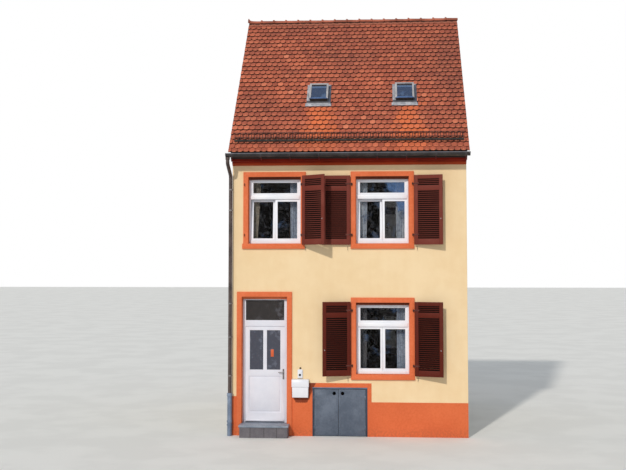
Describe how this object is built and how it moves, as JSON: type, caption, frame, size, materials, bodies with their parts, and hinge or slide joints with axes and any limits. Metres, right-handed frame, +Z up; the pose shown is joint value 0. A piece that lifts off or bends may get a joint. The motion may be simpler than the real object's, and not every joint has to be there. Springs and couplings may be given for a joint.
{
  "type": "two-storey townhouse",
  "caption": "Narrow rendered townhouse with a steep tiled roof, stone window surrounds, louvred shutters, a panelled street door and a steel cellar hatch.",
  "frame": {"origin": "ground level, in the middle of the house's footprint between its four wall faces", "axes": "+Z up, -Y out of the street front, +X to the right of someone who faces the front"},
  "size_m": [5.361, 6.944, 10.0184],
  "materials": {
    "cream_render": "painted fine render, matt",
    "party_render": "painted fine render, matt",
    "plinth_paint": "masonry paint, matt, worn at the foot",
    "red_sandstone": "painted sandstone, dressed, matt",
    "floor_boards": "oiled boards on joists",
    "ground_slab": "cast floor, trowelled",
    "window_white": "white gloss paint on timber",
    "window_glass": "clear float glass",
    "door_white": "white gloss paint on timber",
    "door_glass": "figured glass",
    "handle_metal": "satin anodised",
    "hatch_steel": "blue-grey paint, weathered, dusty",
    "shutter_brown": "red-brown stain, satin, faded on the edges",
    "black_iron": "forged, painted black",
    "roof_tile": "plain clay tiles, weathered, soot in the joints",
    "ridge_tile": "half-round clay tiles with mortar",
    "roof_timber": "sawn softwood",
    "eaves_paint": "dark red paint, satin",
    "gutter_metal": "dark grey, weathered zinc",
    "pipe_metal": "dark grey, weathered zinc",
    "standpipe_metal": "grey paint, worn",
    "guard_metal": "brown-black, rusted at the feet",
    "skylight_metal": "galvanised, weathered, lead apron",
    "skylight_pane": "old wired glass",
    "letterbox_white": "white enamel, gloss",
    "bell_white": "white with a black button",
    "slate": "riven slate, worn smooth on the tread",
    "step_block": "grey blocks with mortar joints",
    "curtain_cloth": "light woven curtain",
    "rail_metal": "satin"
  },
  "bodies": {
    "house": {"attic_floor": "floor_boards", "back_wall": "cream_render", "cornices": "eaves_paint", "curtain_rails": "rail_metal", "curtains": "curtain_cloth", "door_frame": "door_white", "door_surround": "red_sandstone", "doorbell": "bell_white", "doorstep_riser": "step_block", "doorstep_slab": "slate", "downpipe": "pipe_metal", "fanlight_glass": "door_glass", "front_wall_base": "cream_render", "front_wall_left": "cream_render", "front_wall_lower": "cream_render", "front_wall_middle": "cream_render", "front_wall_upper": "cream_render", "ground_floor": "ground_slab", "gutter_brackets": "gutter_metal", "gutters": "gutter_metal", "hatch_frame": "hatch_steel", "left_party_wall": "party_render", "letterbox": "letterbox_white", "pipe_clips": "black_iron", "plinth_coat": "plinth_paint", "ridge_tiles": "ridge_tile", "right_party_wall": "party_render", "roof_deck_back": "roof_timber", "roof_deck_front": "roof_timber", "roof_tiles_back": "roof_tile", "roof_tiles_front": "roof_tile", "shutter_catches": "black_iron", "shutter_pintles": "black_iron", "skylight_frames": "skylight_metal", "skylight_glass": "skylight_pane", "snow_guard": "guard_metal", "snow_guard_stays": "guard_metal", "standpipe": "standpipe_metal", "upper_floor": "floor_boards", "window_frames_back": "window_white", "window_frames_front": "window_white", "window_glass_back": "window_glass", "window_glass_front": "window_glass", "window_sashes_back": "window_white", "window_sashes_front": "window_white", "window_surrounds_back": "red_sandstone", "window_surrounds_front": "red_sandstone"},
    "front_door": {"door_leaf": "door_white", "door_glass": "door_glass", "door_handle": "handle_metal"},
    "hatch_left": {"hatch_leaf_left": "hatch_steel"},
    "hatch_right": {"hatch_leaf_right": "hatch_steel"},
    "upper_left_window_right_shutter": {"shutter_upper_left_window_right": "shutter_brown"},
    "upper_right_window_left_shutter": {"shutter_upper_right_window_left": "shutter_brown"},
    "upper_right_window_right_shutter": {"shutter_upper_right_window_right": "shutter_brown"},
    "lower_window_left_shutter": {"shutter_lower_window_left": "shutter_brown"},
    "lower_window_right_shutter": {"shutter_lower_window_right": "shutter_brown"}
  },
  "joints": [
    {"name": "front_door_hinge", "type": "hinge", "parent": "house", "child": "front_door", "pos_m": [-2.3275, -2.811, 1.3], "axis": [0, 0, 1], "range_deg": [0, 86]},
    {"name": "hatch_left_hinge", "type": "hinge", "parent": "house", "child": "hatch_left", "pos_m": [-0.77, -3.008, 0.5], "axis": [0, 0, -1], "range_deg": [0, 95]},
    {"name": "hatch_right_hinge", "type": "hinge", "parent": "house", "child": "hatch_right", "pos_m": [0.37, -3.008, 0.5], "axis": [0, 0, 1], "range_deg": [0, 95]},
    {"name": "upper_left_window_right_shutter_hinge", "type": "hinge", "parent": "house", "child": "upper_left_window_right_shutter", "pos_m": [-1.055, -3.0555, 4.903], "axis": [0, 0, 1], "range_deg": [-144, 26]},
    {"name": "upper_right_window_left_shutter_hinge", "type": "hinge", "parent": "house", "child": "upper_right_window_left_shutter", "pos_m": [0.074, -3.0555, 4.903], "axis": [0, 0, -1], "range_deg": [-180, 0]},
    {"name": "upper_right_window_right_shutter_hinge", "type": "hinge", "parent": "house", "child": "upper_right_window_right_shutter", "pos_m": [1.416, -3.0555, 4.903], "axis": [0, 0, 1], "range_deg": [-168, 12]},
    {"name": "lower_window_left_shutter_hinge", "type": "hinge", "parent": "house", "child": "lower_window_left_shutter", "pos_m": [0.074, -3.0555, 2.028], "axis": [0, 0, -1], "range_deg": [-165, 15]},
    {"name": "lower_window_right_shutter_hinge", "type": "hinge", "parent": "house", "child": "lower_window_right_shutter", "pos_m": [1.416, -3.0555, 2.028], "axis": [0, 0, 1], "range_deg": [-163, 17]}
  ]
}
